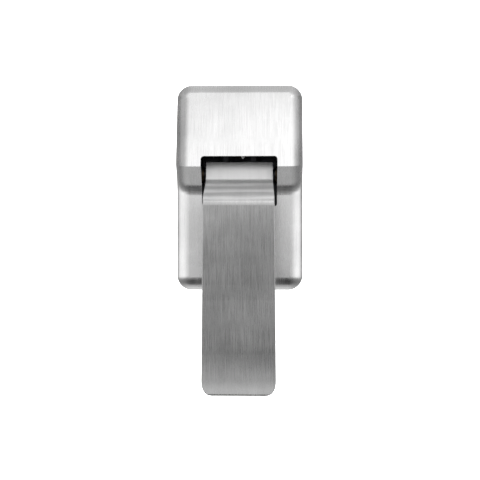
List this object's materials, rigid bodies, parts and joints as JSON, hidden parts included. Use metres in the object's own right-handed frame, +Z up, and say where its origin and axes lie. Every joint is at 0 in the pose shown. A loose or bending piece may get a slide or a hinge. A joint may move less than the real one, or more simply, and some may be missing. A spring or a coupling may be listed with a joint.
{
  "type": "toggle bolt latch",
  "caption": "Paddle-operated door latch trim: a bent strap lever pivots in a stepped housing and drives a through-door rod that draws a latch bolt.",
  "frame": {"origin": "where the drive rod's axis crosses the door face, at the centre of the door's 54 mm bore", "axes": "+Z up the door, +Y into the door along the drive rod, -Y out towards the hand, +X to the right seen from the front"},
  "size_m": [0.0688, 0.065, 0.1649],
  "materials": {
    "brushed_steel": "vertical satin grain",
    "plate_steel": "black zinc plating, satin",
    "zinc_steel": "clear zinc plating, satin",
    "dark_steel": "oiled black",
    "bronze": "sintered, oil-darkened",
    "rubber": "matt"
  },
  "bodies": {
    "trim": {"housing": "brushed_steel", "back_plate": "plate_steel", "housing_screws": "zinc_steel", "mounting_posts": "zinc_steel", "guide_bracket": "plate_steel", "bracket_rivets": "zinc_steel", "pivot_bushing_left": "bronze", "pivot_bushing_right": "bronze", "rod_guide": "bronze", "stop_bumper": "rubber"},
    "lever": {"paddle": "brushed_steel", "crank_plate_left": "plate_steel", "crank_plate_right": "plate_steel", "crank_welds": "plate_steel", "pivot_sleeve": "plate_steel", "pivot_pin": "plate_steel", "pivot_clips": "dark_steel"},
    "rod": {"drive_rod": "zinc_steel", "cross_pin": "plate_steel", "cross_pin_clips": "dark_steel", "spring_washer": "plate_steel", "lock_nut": "zinc_steel", "rod_coupler": "zinc_steel", "return_spring": "dark_steel"}
  },
  "joints": [
    {"name": "lever_pivot", "type": "hinge", "parent": "trim", "child": "lever", "pos_m": [0, -0.007, -0.0175], "axis": [-1, 0, 0], "range_deg": [0, 28]},
    {"name": "rod_slide", "type": "slide", "parent": "trim", "child": "rod", "axis": [0, 1, 0], "range_m": [0, 0.00875], "stiffness_N_per_m": 1500, "springref_m": -0.006, "deforming": ["return_spring"]}
  ],
  "couplings": [
    {"joint": "rod_slide", "follows": "lever_pivot", "m_per_rad": 0.017857}
  ]
}
